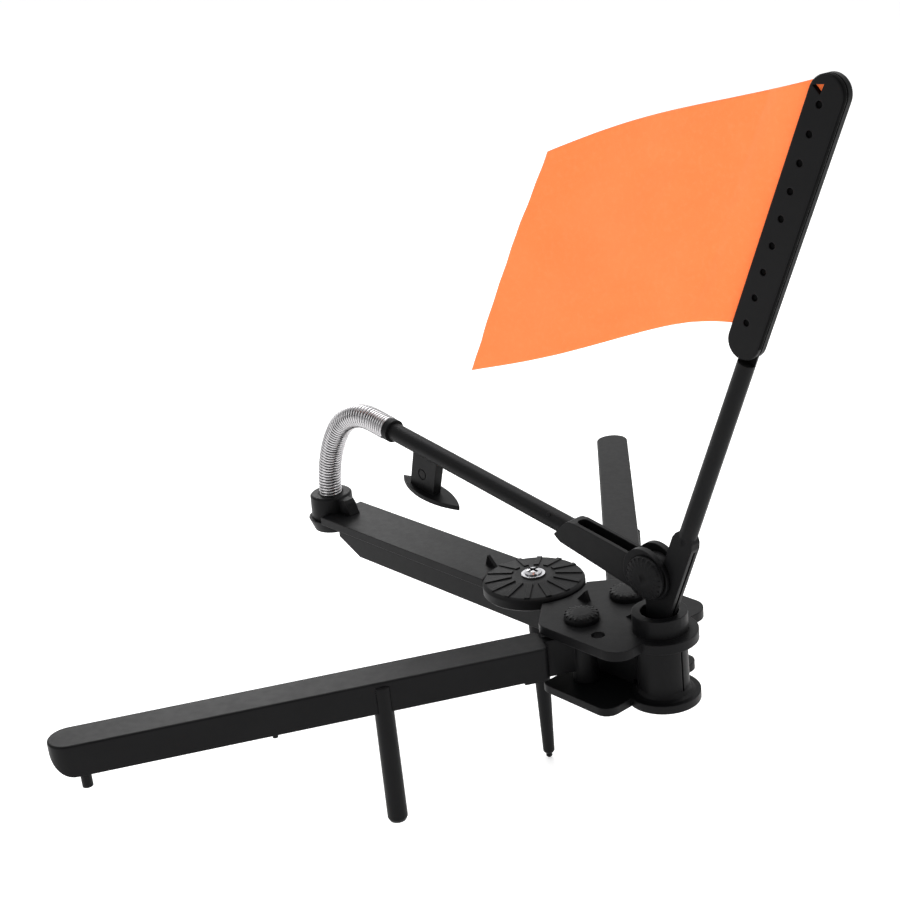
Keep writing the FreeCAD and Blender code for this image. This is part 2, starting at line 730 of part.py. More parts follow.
def make_spring_socket():
    """The cup at the beam's end, with a post inside that the spring fits over."""
    foot = "plate_top - plate_thickness"
    profile = [("0", "socket_floor - 2"),
               ("socket_shank_radius", "socket_floor - 2"),
               ("socket_shank_radius", foot),
               ("socket_foot_radius", foot),
               ("socket_radius", "socket_top - 0.8"),
               ("socket_radius - 0.8", "socket_top"),
               ("socket_bore_radius", "socket_top"),
               ("socket_bore_radius", "socket_floor"),
               ("socket_post_radius", "socket_floor"),
               ("socket_post_radius", "socket_top - 6"),
               ("socket_post_radius - 1", "socket_top - 5"),
               ("0", "socket_top - 5")]
    cup = turned_body("spring_socket_cup", profile)
    gusset = prism("socket_gusset",
                   [("socket_radius - 1.5", "plate_top"),
                    ("socket_radius - 1.5", "socket_top - 0.9"),
                    ("socket_radius + gusset_head - 1.5", "socket_top - 0.9"),
                    ("socket_radius + gusset_head", "socket_top - 2.4"),
                    ("socket_radius + gusset_foot", "plate_top")],
                   "-gusset_half_width", "gusset_half_width", "XZ")
    place = Placement(Vector(-size("socket_x"), 0, 0), Rotation())
    finish(fuse("spring_socket", cup, gusset), "spring_socket", place)


def spring_path():
    """The bent centre line: upright, two arcs that bend it over, and a short straight lead."""
    tilt_total = 90 + size("arm_tilt")
    point = Vector(-size("socket_x"), 0, size("socket_floor") + 0.3)
    top = Vector(-size("socket_x"), 0, size("spring_straight_top"))
    edges = [Part.LineSegment(point, top).toShape()]
    point, heading = top, 0.0
    bends = ((size("spring_low_bend"), size("spring_low_turn")),
             (size("spring_high_bend"), tilt_total - size("spring_low_turn")))
    for radius, turn in bends:
        centre = point + Vector(radius * math.cos(heading), 0, -radius * math.sin(heading))
        stations = []
        for share in (0.5, 1.0):
            angle = heading + math.radians(turn) * share
            stations.append(centre + Vector(-radius * math.cos(angle), 0, radius * math.sin(angle)))
        edges.append(Part.Arc(point, stations[0], stations[1]).toShape())
        point, heading = stations[1], heading + math.radians(turn)
    end = point + Vector(math.sin(heading), 0, math.cos(heading)) * size("spring_lead")
    edges.append(Part.LineSegment(point, end).toShape())
    return Part.Wire(edges), end


def make_coil_spring():
    """The close-wound spring as one tube of its outer and inner diameter."""
    path, _ = spring_path()
    start = Vector(-size("socket_x"), 0, size("socket_floor") + 0.3)
    rings = [Part.Wire(Part.Circle(start, Vector(0, 0, 1), radius).toShape())
             for radius in (size("spring_radius"), size("spring_radius") - size("spring_wire"))]
    outer, inner = [path.makePipeShell([ring], True, False) for ring in rings]
    spring = document.addObject("Part::Feature", "coil_spring")
    spring.Shape = outer.cut(inner)
    finish(spring, "coil_spring", Placement())


# ---------------------------------------------------------------- arm

def arm_frame():
    """Origin at the spring's upper end, X along the bar toward the hub."""
    _, end = spring_path()
    return Placement(end, Rotation(Vector(0, 1, 0), size("arm_tilt")))


def make_trip_arm():
    half = "fork_half_width"
    spigot = along_x("arm_spigot", "arm_spigot_radius", ("-arm_spigot_length", "1"))
    shoulder = along_x("arm_shoulder", "arm_shoulder_radius", ("0", "arm_shoulder_length"))
    bar = along_x("arm_bar", "arm_radius", ("0", "fork_root"))
    fork_outline = [("fork_start + 1", "-arm_radius + 0.4"),
                    ("fork_start + 2.4", "-fork_half_height + 1.6"),
                    ("fork_start + 5", "-fork_half_height + 0.3"),
                    ("fork_root", "-fork_half_height"),
                    ("fork_end", "-fork_end_drop"),
                    ("fork_end", "fork_rise - 0.5"),
                    ("fork_root + 25", "fork_rise"),
                    ("fork_root + 4", "fork_rise"),
                    ("fork_start + fork_shoulder_start + 2", "fork_rise - 0.7"),
                    ("fork_start + fork_shoulder_start", "arm_radius - 0.4")]
    fork = prism("fork_block", fork_outline, f"-{half}", half, "XZ")
    cheek = along_y("fork_cheek", "cheek_radius", (f"-{half}", half), x="cheek_along", z="cheek_rise")
    boss = along_y("fork_boss", "boss_radius", ("-boss_face", "boss_face"), x="boss_along",
                   z="boss_rise")
    stem = prism("catch_stem",
                 [("stem_high_start", "-2"), ("stem_low_start", "-leaf_drop - 1"),
                  ("stem_low_end", "-leaf_drop - 1"), ("stem_high_end", "-2")],
                 "-stem_half_thickness", "stem_half_thickness", "XZ")
    leaf_radius = "((leaf_half_length * leaf_half_length + leaf_half_width * leaf_half_width)" \
                  " / (2 * leaf_half_width))"
    span = ("-leaf_drop - leaf_thickness", "-leaf_drop")
    leaf = common("catch_leaf",
                  cylinder("leaf_near", leaf_radius, span, x="leaf_middle",
                           y=f"{leaf_radius} - leaf_half_width"),
                  cylinder("leaf_far", leaf_radius, span, x="leaf_middle",
                           y=f"leaf_half_width - {leaf_radius}"))
    gate_mark = document.addObject("Part::Cylinder", "gate_mark")
    gate_mark.Placement = Placement(Vector(), Rotation(Vector(1, 0, 0), 45))
    bind(gate_mark, Radius="gate_mark_radius", Height="arm_radius + gate_mark_rise",
         x="gate_mark_along")
    solid = fuse("trip_arm_solid", spigot, shoulder, bar, fork, cheek, boss, stem, leaf, gate_mark)
    slot = box("fork_slot", ("fork_slot_start + fork_slot_half_width", "fork_end + 30"),
               ("-fork_slot_half_width", "fork_slot_half_width"), ("-20", "20"))
    slot_end = cylinder("fork_slot_end", "fork_slot_half_width", ("-20", "20"),
                        x="fork_slot_start + fork_slot_half_width")
    hole = along_y("fork_hole", "fold_pin_radius", ("-20", "20"), x="pivot_along", z="pivot_rise")
    marks = []
    for name, low, high in (
            ("near", "-stem_half_thickness - 1", "-stem_half_thickness + ring_mark_depth"),
            ("far", "stem_half_thickness - ring_mark_depth", "stem_half_thickness + 1")):
        disc = along_y(f"ring_mark_{name}", "ring_mark_radius", (low, high),
                       x="ring_mark_along", z="-ring_mark_drop")
        core = along_y(f"ring_core_{name}", "ring_mark_radius - ring_mark_width", (low, high),
                       x="ring_mark_along", z="-ring_mark_drop")
        marks.append(cut(f"ring_groove_{name}", disc, core))
    finish(cut("trip_arm", solid, slot, slot_end, hole, *marks), "trip_arm", arm_frame())


def fold_pivot():
    """The middle of the fold pin."""
    return arm_frame().multVec(Vector(size("pivot_along"), 0, size("pivot_rise")))


def mast_frame():
    """The mast's datum, turned about Y by its tilt."""
    datum = arm_frame().multVec(Vector(size("mast_datum_along"), 0, 0))
    return Placement(datum, Rotation(Vector(0, 1, 0), size("mast_tilt")))


def make_fold_pin():
    """The pin crosses the fork from its -Y side, and a cap with the same ribs holds its far end."""
    seat = size("boss_face") + size("fold_head_gap")
    frame = Placement(fold_pivot(), Rotation(Vector(0, 1, 0), size("arm_tilt")))
    pin = ribbed_pin("fold_pin", "fold_pin_radius", "boss_face * 2 + fold_pin_end",
                     "fold_head_radius", "fold_head_height", FOLD_HEAD_RIBS)
    near = Placement(Vector(0, -seat, 0), Rotation(Vector(1, 0, 0), 90))
    finish(pin, "fold_pin", frame.multiply(near))
    blank = ribbed_pin("fold_pin_cap_blank", "fold_pin_radius", "-pin_end_chamfer - 0.1",
                       "fold_cap_radius", "fold_head_height", FOLD_HEAD_RIBS)
    socket = cylinder("fold_cap_socket", "fold_pin_radius", ("-1", "fold_pin_end - fold_head_gap"))
    far = Placement(Vector(0, seat, 0), Rotation(Vector(1, 0, 0), -90))
    finish(cut("fold_pin_cap", blank, socket), "fold_pin_cap", frame.multiply(far))


# ---------------------------------------------------------------- mast and flag

HOLDER_MIDDLE = "(mast_offset - holder_shift)"


def holder_slab(name, low, high):
    """A long plate with round ends in the plane of the mast."""
    left = f"{HOLDER_MIDDLE} - holder_half_width"
    right = f"{HOLDER_MIDDLE} + holder_half_width"
    low_end = "holder_bottom + holder_half_width"
    high_end = "holder_top - holder_half_width"
    slab = box(name + "_slab", (left, right), (low, high), (low_end, high_end))
    ends = [along_y(f"{name}_{label}", "holder_half_width", (low, high), x=HOLDER_MIDDLE, z=height)
            for label, height in (("bottom", low_end), ("top", high_end))]
    return fuse(name + "_outline", slab, *ends)


def clamp_rods(name, radius, low, high):
    """One small rod at each clamp hole."""
    return [along_y(f"{name}_{index}", radius, (low, high), x="clamp_hole_x",
                    z=f"clamp_first_hole + {index} * clamp_pitch")
            for index in range(CLAMP_HOLES)]


def outer_rim(sign):
    """Test for the edges on the outer face of a holder plate."""
    plate = "holder_back_plate" if sign > 0 else "holder_front_plate"
    level = size("cloth_gap") / 2 + size(plate)

    def wanted(edge):
        return abs(sign * edge.BoundBox.YMin - level) < 0.01 and edge.BoundBox.YLength < 0.01
    return wanted


def make_mast():
    half = "blade_half_thickness"
    right = "mast_offset + blade_half_width"
    left = "mast_offset - blade_half_width"
    blade_outline = [("-blade_heel_x", "-blade_heel_bottom"),
                     ("-blade_waist_x", "-blade_waist_bottom"),
                     (left, "-foot_end + 6"),
                     (f"{left} + 0.3", "-foot_end + 3"),
                     (f"{left} + blade_foot_round", "-foot_end"),
                     (f"{right} - blade_foot_round", "-foot_end"),
                     (f"{right} - 0.3", "-foot_end + 3"),
                     (right, "-foot_end + 6"),
                     (right, "blade_top - 4.5"),
                     (f"{right} - 0.8", "blade_top - 1.8"),
                     (f"{right} - blade_shoulder", "blade_top"),
                     (f"{left} + blade_shoulder", "blade_top"),
                     (f"{left} + 0.8", "blade_top - 1.8"),
                     (left, "blade_top - 4.5"),
                     (left, "blade_heel_top"),
                     ("-blade_heel_x", "blade_heel_top")]
    blade = prism("mast_blade", blade_outline, f"-{half}", half, "XZ")
    pivot = mast_frame().inverse().multVec(fold_pivot())
    middle = {"x": f"{pivot.x}", "z": f"{pivot.z}"}
    knuckle = along_y("mast_knuckle", "knuckle_radius", (f"-{half}", half), **middle)
    root = cone("rod_root", "1.5", "rod_low_radius", ("blade_top - 9", "blade_top - 1"),
                x="mast_offset")
    rod = cone("mast_rod", "rod_low_radius", "rod_high_radius",
               ("blade_top - 1", "holder_bottom + 10"), x="mast_offset")
    front_clear = box("rod_front_clear", ("-20", "40"), ("-20", "cloth_gap / 2"),
                      ("holder_bottom - 0.6", "holder_bottom + 40"))
    groove = box("edge_groove", (f"{right} - edge_groove_depth", f"{right} + 2"),
                 ("-edge_groove_width / 2", "edge_groove_width / 2"), ("-13", "blade_top - 6"))
    bore = along_y("knuckle_bore", "fold_pin_radius + running_gap", ("-20", "20"), **middle)
    stalk = cut("mast_stalk", fuse("mast_stalk_solid", blade, knuckle, root, rod), front_clear,
                groove, bore)
    back = round_edges("holder_back",
                       holder_slab("holder_back_plate", "cloth_gap / 2",
                                   "cloth_gap / 2 + holder_back_plate"),
                       "holder_edge_round", outer_rim(1))
    edge = f"{HOLDER_MIDDLE} + holder_half_width"
    spacer = box("holder_spacer", (f"{edge} - 2.6", f"{edge} - 0.8"), ("-cloth_gap / 2", "cloth_gap"),
                 ("holder_bottom + 12", "holder_top - 12"))
    pins = clamp_rods("clamp_pin", "clamp_pin_radius", "-cloth_gap / 2 - 1.4", "cloth_gap")
    finish(fuse("mast", stalk, back, spacer, *pins), "mast", mast_frame())


def make_flag_clamp_plate():
    slab = holder_slab("clamp_plate", "-cloth_gap / 2 - holder_front_plate", "-cloth_gap / 2")
    rounded = round_edges("clamp_plate_rounded", slab, "holder_edge_round", outer_rim(-1))
    holes = clamp_rods("clamp_hole", "clamp_hole_radius", "-6", "0")
    corners = [(f"{across}", f"{up}") for across, up in CLAMP_WINDOW]
    window = prism("clamp_window", corners, "-6", "0", "XZ")
    finish(cut("flag_clamp_plate", rounded, window, *holes), "flag_clamp_plate",
           mast_frame())


def make_flag():
    """A thin cloth solid: a flat strip inside the clamp and a twisted panel out to the free edge."""
    half = size("flag_thickness") / 2
    edge_x = size("mast_offset") - size("holder_shift") - size("holder_half_width")
    low, high = size("flag_low"), size("flag_high")
    strip = Part.makeBox(size("flag_tuck"), 2 * half, high - low, Vector(edge_x, -half, low))
    for index in range(CLAMP_HOLES):
        height = size("clamp_first_hole") + index * size("clamp_pitch")
        start = Vector(size("clamp_hole_x"), -2, height)
        strip = strip.cut(Part.makeCylinder(size("flag_hole_radius"), 4, start, Vector(0, 1, 0)))
    hoist = Part.LineSegment(Vector(edge_x, -half, low), Vector(edge_x, -half, high)).toShape()
    fly = Part.LineSegment(Vector(-size("fly_low_x"), -size("fly_low_y"), size("fly_low_z")),
                           Vector(-size("fly_high_x"), -size("fly_high_y"),
                                  size("fly_high_z"))).toShape()
    panel = Part.makeRuledSurface(hoist, fly).extrude(Vector(0, 2 * half, 0))
    flag = document.addObject("Part::Feature", "flag")
    flag.Shape = strip.fuse(panel)
    finish(flag, "flag", mast_frame())


# ---------------------------------------------------------------- build, check and write

make_main_beam()
make_hub_base()
make_hinge_pins()
for leg_side, leg_sign in SIDES.items():
    make_leg(leg_side, leg_sign)
make_rotor_disc()
make_rotor_shaft()
make_rotor_screw()
make_spring_socket()
make_coil_spring()
make_trip_arm()
make_fold_pin()
make_mast()
make_flag_clamp_plate()
make_flag()
document.recompute()

for item in document.Objects:
    if "Invalid" in item.State or "Error" in item.State:
        raise RuntimeError(f"{item.Name} failed: {item.State}")
for part in parts:
    if part.Shape.isNull() or not part.Shape.isValid():
        raise RuntimeError(f"{part.Label} has no valid shape")
    if len(part.Shape.Solids) != 1:
        raise RuntimeError(f"{part.Label} holds {len(part.Shape.Solids)} solids")

os.makedirs("parts", exist_ok=True)
for part in parts:
    part.Shape.exportStep(f"parts/{part.Label}.step")
    print(f"{part.Label:20s} {part.Shape.Volume / 1000:8.2f} cm3")
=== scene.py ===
import math

import bpy
import numpy as np
from mathutils import Matrix, Vector, noise


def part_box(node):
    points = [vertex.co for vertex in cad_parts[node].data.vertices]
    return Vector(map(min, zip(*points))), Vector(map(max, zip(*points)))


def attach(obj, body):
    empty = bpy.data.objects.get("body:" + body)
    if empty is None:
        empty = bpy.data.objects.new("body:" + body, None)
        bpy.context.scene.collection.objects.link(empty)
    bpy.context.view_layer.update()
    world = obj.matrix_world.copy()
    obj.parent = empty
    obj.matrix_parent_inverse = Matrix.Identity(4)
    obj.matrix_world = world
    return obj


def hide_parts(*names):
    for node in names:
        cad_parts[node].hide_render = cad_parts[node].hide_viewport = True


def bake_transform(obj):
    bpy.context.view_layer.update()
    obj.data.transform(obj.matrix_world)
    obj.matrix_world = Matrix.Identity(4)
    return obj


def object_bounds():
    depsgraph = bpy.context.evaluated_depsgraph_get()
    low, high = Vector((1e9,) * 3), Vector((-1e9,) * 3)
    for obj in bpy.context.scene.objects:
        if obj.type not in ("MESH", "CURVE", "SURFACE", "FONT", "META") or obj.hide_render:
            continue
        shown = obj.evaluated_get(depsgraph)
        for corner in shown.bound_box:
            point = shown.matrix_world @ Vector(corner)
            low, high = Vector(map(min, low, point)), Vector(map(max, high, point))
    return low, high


# A folding ice fishing tip up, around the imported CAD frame. Metres, +Z up, beam along -X.

MM = 0.001
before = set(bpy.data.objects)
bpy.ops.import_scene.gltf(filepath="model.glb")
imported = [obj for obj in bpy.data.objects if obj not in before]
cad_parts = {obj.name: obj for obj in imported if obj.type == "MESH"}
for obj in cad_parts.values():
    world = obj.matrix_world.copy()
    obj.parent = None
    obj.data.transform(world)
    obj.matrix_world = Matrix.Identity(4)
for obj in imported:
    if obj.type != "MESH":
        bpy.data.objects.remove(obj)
cad_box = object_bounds()


# ---------------------------------------------------------------- meshes

def make_mesh(name, points, faces):
    """A smooth-shaded mesh object from points in metres and faces of point numbers."""
    mesh = bpy.data.meshes.new(name)
    mesh.from_pydata([tuple(point) for point in points], [], faces)
    mesh.update()
    mesh.shade_smooth()
    piece = bpy.data.objects.new(name, mesh)
    bpy.context.scene.collection.objects.link(piece)
    return piece


def sweep(name, centres, frames, radius, sides):
    """A closed round tube: one ring of points round each centre, and one face at either end."""
    angles = np.arange(sides) * 2 * math.pi / sides
    ring = np.stack([np.cos(angles), np.sin(angles)], axis=1)
    points = []
    for centre, (across, up) in zip(centres, frames):
        points += [centre + radius * (c * across + s * up) for c, s in ring]
    faces = []
    for row in range(len(centres) - 1):
        for side in range(sides):
            a, b = row * sides + side, row * sides + (side + 1) % sides
            faces.append((a, b, b + sides, a + sides))
    last = (len(centres) - 1) * sides
    faces.append(tuple(reversed(range(sides))))
    faces.append(tuple(range(last, last + sides)))
    return make_mesh(name, points, faces)


# ---------------------------------------------------------------- material nodes

class Shader:
    """A material's node tree, with short calls that add a node and link its inputs."""

    def __init__(self, name):
        self.material = bpy.data.materials.new(name)
        self.material.use_nodes = True
        self.tree = self.material.node_tree
        self.surface = self.tree.nodes["Principled BSDF"]
        self.place = self.add("ShaderNodeTexCoord").outputs["Object"]

    def add(self, kind, links=None, **settings):
        node = self.tree.nodes.new(kind)
        for name, value in settings.items():
            setattr(node, name, value)
        for socket, value in (links or {}).items():
            self.join(node.inputs[socket], value)
        return node

    def join(self, socket, value):
        if isinstance(value, bpy.types.NodeSocket):
            self.tree.links.new(value, socket)
        else:
            socket.default_value = value

    def set(self, **values):
        """Set or link sockets of the Principled shader; underscores stand for spaces."""
        for name, value in values.items():
            self.join(self.surface.inputs[name.replace("_", " ")], value)

    def noise(self, scale, detail, roughness=0.55, stretch=(1, 1, 1), shift=(0, 0, 0)):
        """Soft noise from 0 to 1, fixed to the object, with scale cells to the metre."""
        where = self.add("ShaderNodeMapping", {"Vector": self.place, "Scale": stretch,
                                               "Location": shift}).outputs[0]
        return self.add("ShaderNodeTexNoise", {"Vector": where, "Scale": scale, "Detail": detail,
                                               "Roughness": roughness}).outputs["Fac"]

    def math(self, operation, first, second=0.0):
        """One Math node; a function of one value leaves the second unused."""
        return self.add("ShaderNodeMath", {0: first, 1: second}, operation=operation).outputs[0]

    def range(self, value, low, high, to_low=0.0, to_high=1.0):
        """A soft ramp that takes low to to_low and high to to_high, level outside them."""
        return self.add("ShaderNodeMapRange", {"Value": value, "From Min": low, "From Max": high,
                                               "To Min": to_low, "To Max": to_high},
                        interpolation_type="SMOOTHSTEP").outputs["Result"]

    def mix(self, factor, first, second):
        node = self.add("ShaderNodeMix", data_type="RGBA")
        self.join(node.inputs["Factor"], factor)
        self.join(node.inputs["A"], first)
        self.join(node.inputs["B"], second)
        return node.outputs["Result"]

    def bump(self, height, distance, strength, normal=None):
        links = {"Height": height, "Distance": distance, "Strength": strength}
        if normal is not None:
            links["Normal"] = normal
        return self.add("ShaderNodeBump", links).outputs["Normal"]

    def openness(self, reach):
        """1 on open faces, falling toward 0 in gaps, holes and inner corners."""
        return self.add("ShaderNodeAmbientOcclusion", {"Distance": reach}, samples=6).outputs["AO"]

    def edges(self, radius):
        """1 along edges and corners, 0 on open faces, and the rounded normal there."""
        rounded = self.add("ShaderNodeBevel", {"Radius": radius}, samples=4).outputs["Normal"]
        true_normal = self.add("ShaderNodeNewGeometry").outputs["Normal"]
        dot = self.add("ShaderNodeVectorMath", {0: rounded, 1: true_normal},
                       operation="DOT_PRODUCT").outputs["Value"]
        return self.range(dot, 0.995, 0.86), rounded


PLASTIC_BLACK = (0.0042, 0.0042, 0.0046)
PLASTIC_GREY = tuple(value * 1.2 for value in PLASTIC_BLACK)
# painted shade: the dark colour the plastic takes in gaps, holes and inner corners
PLASTIC_PAINTED_SHADE = tuple(value * 0.3 for value in PLASTIC_BLACK)
PLASTIC_CHALK = (0.03, 0.03, 0.032)
GAP_REACH = 3.5 * MM          # how near a facing wall has to be for painted shade to darken the plastic
GAP_DULLING = 0.5             # roughness added at the bottom of a gap
HOLE_DEPTHS = (-2.2 * MM, -0.5 * MM)     # y of the layer where the clamp's small holes end


def black_plastic(name, shift=(0.0, 0.0, 0.0), gloss=0.43, shine=0.11, edge=0.7, hole_shade_above=None):
    """Black moulded plastic: fine grain, faint flow marks, a few scuffs and edges rubbed grey.

    Crevices are duller, and painted shade darkens them by ambient occlusion. Above the height
    hole_shade_above, what lies in the HOLE_DEPTHS layer is the bottom of the clamp's small holes,
    and gets the same painted shade. gloss is the roughness, shine the specular level and edge the
    width of the rubbed edges in millimetres.
    """
    shader = Shader(name)
    grain = shader.noise(2600, detail=2.0, shift=shift)
    flow = shader.noise(70, detail=3.0, stretch=(0.4, 1, 1), shift=shift)
    patches = shader.noise(320, detail=5.0, roughness=0.6, shift=shift)
    scuffs = shader.noise(520, detail=6.0, roughness=0.72, stretch=(0.3, 1, 1), shift=shift)
    worn, rounded = shader.edges(edge * MM)
    wear = shader.math("MULTIPLY", worn,
                       shader.math("MULTIPLY", shader.range(patches, 0.42, 0.64), 0.4))
    chalk = (*PLASTIC_CHALK, 1)
    colour = shader.mix(shader.range(flow, 0.35, 0.7), (*PLASTIC_BLACK, 1), (*PLASTIC_GREY, 1))
    scuffed = shader.math("MULTIPLY", shader.range(scuffs, 0.68, 0.78), 0.22)
    colour = shader.mix(scuffed, colour, chalk)
    colour = shader.mix(wear, colour, chalk)
    # painted shade mask from ambient occlusion: 1 on open faces, toward 0 in gaps and corners
    open_face = shader.range(shader.openness(GAP_REACH), 0.25, 0.85)
    # painted shade at the bottom of the clamp's small holes
    if hole_shade_above is not None:
        split = shader.add("ShaderNodeSeparateXYZ", {"Vector": shader.place})
        behind = shader.math("GREATER_THAN", split.outputs["Y"], HOLE_DEPTHS[0])
        front = shader.math("LESS_THAN", split.outputs["Y"], HOLE_DEPTHS[1])
        high = shader.math("GREATER_THAN", split.outputs["Z"], hole_shade_above)
        deep = shader.math("MULTIPLY", high, shader.math("MULTIPLY", behind, front))
        open_face = shader.math("MULTIPLY", open_face, shader.math("SUBTRACT", 1.0, deep))
    # painted shade: the colour goes darker where the faces are shut in
    colour = shader.mix(open_face, (*PLASTIC_PAINTED_SHADE, 1), colour)
    rough = shader.range(patches, 0.3, 0.7, gloss - 0.02, gloss + 0.03)
    shut_face = shader.math("SUBTRACT", 1.0, open_face)
    rough = shader.math("ADD", rough, shader.math("MULTIPLY", GAP_DULLING, shut_face))
    height = shader.math("ADD", grain, shader.math("MULTIPLY", patches, 0.15))
    shader.set(Base_Color=colour, Roughness=rough, IOR=1.47, Specular_IOR_Level=shine,
               Normal=shader.bump(height, 0.03 * MM, 0.5, rounded))
    return shader.material


def plated_steel(name, tint=(0.62, 0.62, 0.64), roughness=0.26, gap=0.9):
    """Bright plated steel with fine drawing lines and faint tarnish, and painted shade in gaps
    under gap mm.
    """
    shader = Shader(name)
    lines = shader.noise(900, detail=3.0, stretch=(1, 1, 8))
    tarnish = shader.noise(160, detail=5.0, roughness=0.65)
    dull = tuple(value * 0.72 for value in tint) + (1,)
    colour = shader.mix(shader.range(tarnish, 0.5, 0.72), (*tint, 1), dull)
    # painted shade: the colour goes nearly black in gaps, such as between the spring's turns
    open_face = shader.range(shader.openness(gap * MM), 0.35, 0.95)
    colour = shader.mix(open_face, (0.012, 0.012, 0.014, 1), colour)
    shader.set(Base_Color=colour, Metallic=1.0,
               Roughness=shader.range(tarnish, 0.3, 0.7, roughness - 0.07, roughness + 0.12),
               Normal=shader.bump(lines, 0.01 * MM, 0.4))
    return shader.material


def orange_cloth(name):
    """Fluorescent orange plain weave, made to glow with painted light; the cloth's own UV counts
    threads.
    """
    shader = Shader(name)
    threads = shader.add("ShaderNodeUVMap", uv_map="threads").outputs["UV"]
    split = shader.add("ShaderNodeSeparateXYZ", {"Vector": threads})
    ridges = []
    for along, across in (("X", "Y"), ("Y", "X")):
        yarn = shader.math("MULTIPLY", split.outputs[along], math.pi)
        over = shader.math("MULTIPLY", shader.math("ADD", split.outputs[across], 0.5), math.pi)
        ridges.append(shader.math("MULTIPLY", shader.math("ABSOLUTE", shader.math("SINE", yarn)),
                                  shader.math("ABSOLUTE", shader.math("SINE", over))))
    weave = shader.math("MAXIMUM", *ridges)
    slub = shader.noise(520, detail=4.0, roughness=0.6)
    fade = shader.noise(18, detail=3.0)
    # painted shade and highlight: darker in the hollows between the yarns, lighter on their crowns
    deep = (0.98, 0.17, 0.045, 1)
    bright = (1.0, 0.245, 0.076, 1)
    pale = (1.0, 0.29, 0.11, 1)
    colour = shader.mix(shader.range(weave, 0.1, 0.9), deep, bright)
    colour = shader.mix(shader.math("MULTIPLY", shader.range(slub, 0.45, 0.75), 0.3), colour, pale)
    colour = shader.mix(shader.math("MULTIPLY", shader.range(fade, 0.4, 0.7), 0.25), colour, pale)
    height = shader.math("ADD", weave, shader.math("MULTIPLY", slub, 0.5))
    # painted light: the emission makes the cloth glow brighter than the lamps alone light it
    shader.set(Base_Color=colour, Roughness=0.8, Specular_IOR_Level=0.15, Sheen_Weight=0.25,
               Sheen_Roughness=0.4, Emission_Color=(1.0, 0.17, 0.04, 1), Emission_Strength=0.34,
               Normal=shader.bump(height, 0.09 * MM, 0.45))
    return shader.material


def pale_floor(name):
    """Matte white paper, lifted a little so that it stays even out to the far edge."""
    shader = Shader(name)
    fibres = shader.noise(40, detail=4.0)
    colour = shader.mix(shader.range(fibres, 0.3, 0.7),
                        (0.87, 0.87, 0.87, 1), (0.89, 0.89, 0.89, 1))
    shader.set(Base_Color=colour, Roughness=0.95, Specular_IOR_Level=0.0,
               Emission_Color=(1, 1, 1, 1), Emission_Strength=0.5)
    return shader.material


# ---------------------------------------------------------------- CAD nodes

FLAT_ANGLE = math.radians(0.6)      # faces closer than this in angle are one flat face
SHARP_ANGLE = math.radians(35)      # edges that turn more than this are rounded
EDGE_ROUNDS = {                     # width of the rounding, in millimetres
    "main_beam": 0.8, "hub_base": 0.8, "spring_socket": 0.6, "trip_arm": 0.6, "mast": 0.5,
    "leg_left": 0.5, "leg_right": 0.5, "rotor_disc": 0.3, "hinge_pin_left": 0.25,
    "hinge_pin_right": 0.25, "fold_pin": 0.25, "fold_pin_cap": 0.25, "flag_clamp_plate": 0.2,
}


def soften_edges(node, width):
    """Join the flat triangles of a CAD node and round its sharp edges, as a mould leaves them."""
    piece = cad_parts[node]
    flatten = piece.modifiers.new("join_flat", "DECIMATE")
    flatten.decimate_type = "DISSOLVE"
    flatten.angle_limit = FLAT_ANGLE
    bevel = piece.modifiers.new("soft_edges", "BEVEL")
    bevel.width = width * MM
    bevel.segments = 2
    bevel.limit_method = "ANGLE"
    bevel.angle_limit = SHARP_ANGLE


def finish_cad_nodes():
    """Give each CAD node that is shown as it is its material, and soften the edges of most."""
    materials = {
        "base": black_plastic("black_moulding_base"),
        "leg": black_plastic("black_moulding_leg", shift=(0.31, 0.12, 0.05)),
        "rotor": black_plastic("black_moulding_rotor", shift=(0.07, 0.4, 0.2), gloss=0.5,
                               shine=0.13, edge=0.5),
        "arm": black_plastic("black_moulding_arm", shift=(0.5, 0.3, 0.6)),
        # the mast's plastic also gets painted shade at the bottom of its clamp's small holes
        "mast": black_plastic("black_moulding_mast", shift=(0.8, 0.1, 0.3), hole_shade_above=0.165),
        "steel": plated_steel("plated_steel", gap=2.0),
    }
    use = {
        "main_beam": "base", "hub_base": "base", "spring_socket": "base",
        "hinge_pin_left": "base", "hinge_pin_right": "base",
        "leg_left": "leg", "leg_right": "leg", "line_peg_left": "leg", "line_peg_right": "leg",
        "rotor_disc": "rotor", "rotor_shaft": "rotor", "rotor_screw": "steel",
        "rotor_washer": "steel", "trip_arm": "arm", "fold_pin": "arm", "fold_pin_cap": "arm",
        "mast": "mast", "flag_clamp_plate": "mast",
    }
    for node, kind in use.items():
        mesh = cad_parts[node].data
        mesh.materials.clear()
        mesh.materials.append(materials[kind])
    for node, width in EDGE_ROUNDS.items():
        soften_edges(node, width)


# ---------------------------------------------------------------- spring

SPRING_RADIUS = 6.1 * MM
WIRE_RADIUS = 0.8 * MM
WIRE_STEPS = 26                     # centres in one turn of the wire
WIRE_SIDES = 9
TURN_SPACING = 1.015                # the pitch of touching turns, in wire thicknesses
SPRING_BENDS = ((63.3 * MM, 39.9), (33.5 * MM, 60.1))     # radius, and turn in degrees
SPRING_LEAD = 13.0 * MM             # the straight run inside the arm's end
SPRING_STRAIGHT_TOP = 38.2 * MM     # z where the straight run from the socket ends


def spring_stations():
    """The centre line's start on the socket floor, and its runs as (length, bend radius)."""
    low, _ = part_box("coil_spring")
    start = Vector((low.x + SPRING_RADIUS, 0, low.z))
    runs = [(SPRING_STRAIGHT_TOP - start.z, None)]
    runs += [(radius * math.radians(turn), radius) for radius, turn in SPRING_BENDS]
    runs.append((SPRING_LEAD, None))
    return start, runs


